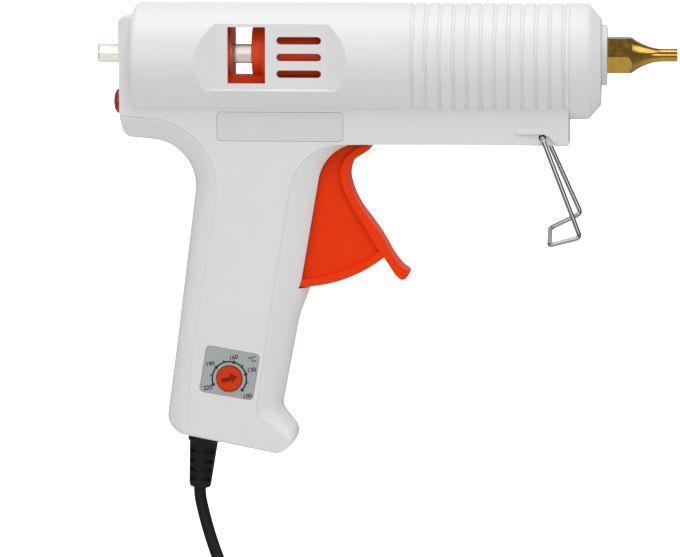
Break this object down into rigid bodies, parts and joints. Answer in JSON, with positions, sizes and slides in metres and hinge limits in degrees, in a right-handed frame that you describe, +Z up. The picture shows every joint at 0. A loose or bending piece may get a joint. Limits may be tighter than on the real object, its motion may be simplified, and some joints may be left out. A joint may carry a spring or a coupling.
{
  "type": "hot glue gun",
  "caption": "Hand-held hot glue gun with trigger feed, temperature dial, push switch, brass nozzle, folding wire stand and a corded plug, for thin glue sticks.",
  "frame": {"origin": "middle of the hand grip, in the seam plane of the housing", "axes": "+X forward along the glue path to the nozzle, +Z up with the gun held level, +Y to the gun's left"},
  "size_m": [0.2228, 0.0466, 0.3206],
  "materials": {
    "housing": "satin white moulded plastic",
    "collar": "light grey heat-resistant plastic",
    "brass": "turned brass",
    "aluminium": "die-cast",
    "silicone": "silicone",
    "steel": "plated steel",
    "heater": "ceramic in film",
    "sensor": "glass bead in film",
    "glue": "translucent hot melt glue",
    "orange": "orange moulded plastic",
    "red": "red plastic",
    "black_plastic": "black plastic",
    "plate": "silver-grey foil",
    "board": "circuit board",
    "cord": "black soft plastic",
    "lead": "insulated wire",
    "chrome": "bright plated wire"
  },
  "bodies": {
    "housing": {"right_housing_shell": "housing", "left_housing_shell": "housing", "nose_cap": "housing", "nozzle_collar": "collar", "nozzle": "brass", "melt_chamber": "aluminium", "inlet_sleeve": "silicone", "sleeve_clamp": "steel", "chamber_rear_ring": "steel", "chamber_front_ring": "steel", "heater_element": "heater", "heater_clip": "steel", "thermistor": "sensor", "thermal_fuse": "heater", "return_spring": "steel", "trigger_pin": "steel", "switch_body": "black_plastic", "dial_plate": "plate", "rating_label": "plate", "potentiometer": "black_plastic", "control_board": "board", "triac": "black_plastic", "film_capacitor": "red", "control_chip": "black_plastic", "housing_screws": "steel", "cord_clamp": "housing", "clamp_screws": "steel", "strain_relief": "cord", "cord_lead": "cord", "cord_coil": "cord", "cord_tail": "cord", "cord_tie": "black_plastic", "plug_body": "cord", "plug_pins": "chrome", "mains_leads": "lead", "heater_leads": "lead", "sensor_leads": "lead"},
    "trigger_lever": {"trigger": "orange", "drive_pin": "steel"},
    "carriage": {"feed_carriage": "orange", "pawl_pin": "steel", "pawl_spring": "steel"},
    "pawl": {"grip_pawl": "steel"},
    "stick": {"glue_stick": "glue"},
    "button": {"power_button": "red"},
    "dial": {"temperature_dial": "orange"},
    "stand": {"wire_stand": "chrome"}
  },
  "joints": [
    {"name": "trigger_pull", "type": "hinge", "parent": "housing", "child": "trigger_lever", "pos_m": [0.02, 0, 0.0525], "axis": [0, 1, 0], "range_deg": [0, 20], "stiffness_Nm_per_rad": 0.25, "springref_deg": -20.05},
    {"name": "carriage_feed", "type": "slide", "parent": "housing", "child": "carriage", "axis": [1, 0, 0], "range_m": [0, 0.0069], "deforming": ["return_spring"]},
    {"name": "stick_feed", "type": "slide", "parent": "housing", "child": "stick", "axis": [1, 0, 0], "range_m": [0, 0.0069]},
    {"name": "pawl_lift", "type": "hinge", "parent": "carriage", "child": "pawl", "pos_m": [0.0235, 0, 0.0802], "axis": [0, -1, 0], "range_deg": [0, 6], "stiffness_Nm_per_rad": 0.01, "springref_deg": -5.73, "deforming": ["pawl_spring"]},
    {"name": "stand_swing", "type": "hinge", "parent": "housing", "child": "stand", "pos_m": [0.1116, 0, 0.0578], "axis": [0, -1, 0], "range_deg": [-83, 24]},
    {"name": "dial_turn", "type": "hinge", "parent": "housing", "child": "dial", "pos_m": [-0.0055, -0.013, -0.0335], "axis": [0, -1, 0], "range_deg": [-58, 183]},
    {"name": "button_press", "type": "slide", "parent": "housing", "child": "button", "axis": [1, 0, 0], "range_m": [0, 0.0012], "stiffness_N_per_m": 600, "springref_m": -0.001}
  ],
  "couplings": [
    {"joint": "carriage_feed", "follows": "trigger_pull", "m_per_rad": 0.0194},
    {"joint": "stick_feed", "follows": "trigger_pull", "m_per_rad": 0.0194}
  ]
}
